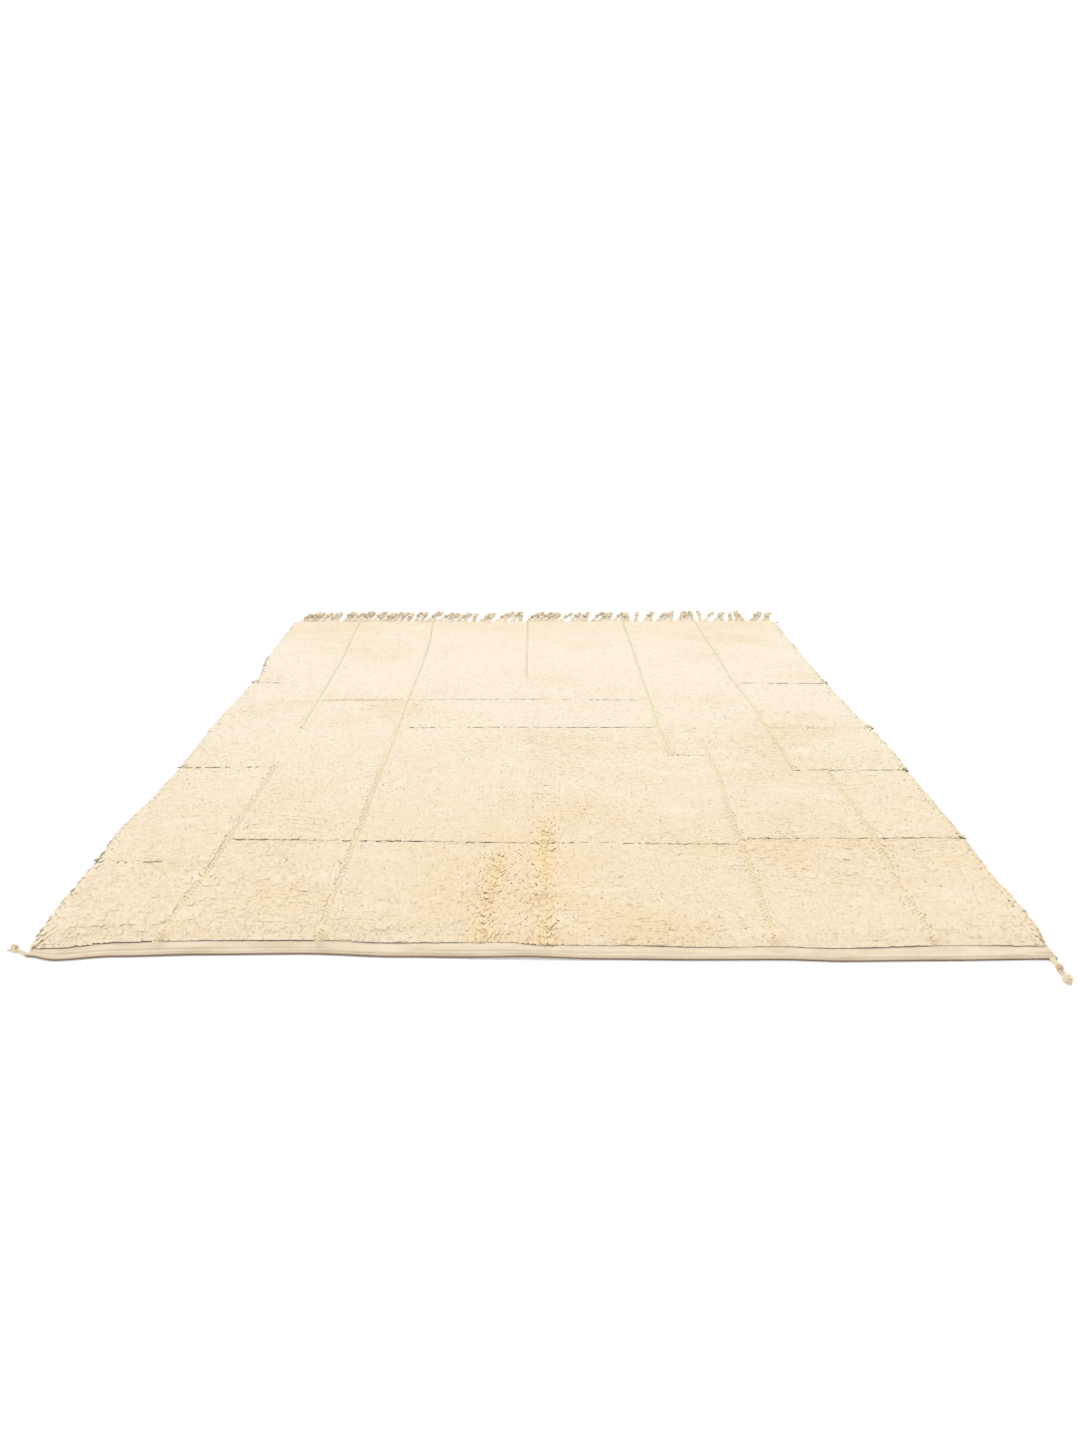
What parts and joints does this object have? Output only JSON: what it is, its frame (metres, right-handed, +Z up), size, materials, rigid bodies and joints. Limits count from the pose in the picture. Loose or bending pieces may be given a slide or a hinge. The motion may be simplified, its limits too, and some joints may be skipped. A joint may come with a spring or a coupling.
{
  "type": "beni ourain rug",
  "caption": "Thick cream wool pile rug with sunk straight lines, a flat-woven heading with an edge cord at one end and a knotted warp fringe at the other.",
  "frame": {"origin": "on the underside of the pile cloth, midway across the rug and midway between the heading's outer edge and the far end of the pile", "axes": "+Z up out of the pile, +Y along the rug from the heading towards the fringe, +X across it to the right as seen from the heading"},
  "size_m": [2.5881, 3.4408, 0.0275],
  "materials": {
    "pile_wool": "matt undyed cream wool, cut pile",
    "flat_wool": "matt undyed wool, flat weave with fine ribs",
    "warp_yarn": "matt plied yarn, knotted"
  },
  "bodies": {
    "root": {"pile_cloth": "pile_wool", "heading": "flat_wool", "edge_cord": "flat_wool", "fringe": "warp_yarn", "corner_tassel_right": "warp_yarn", "corner_tassel_left": "warp_yarn"}
  },
  "joints": []
}
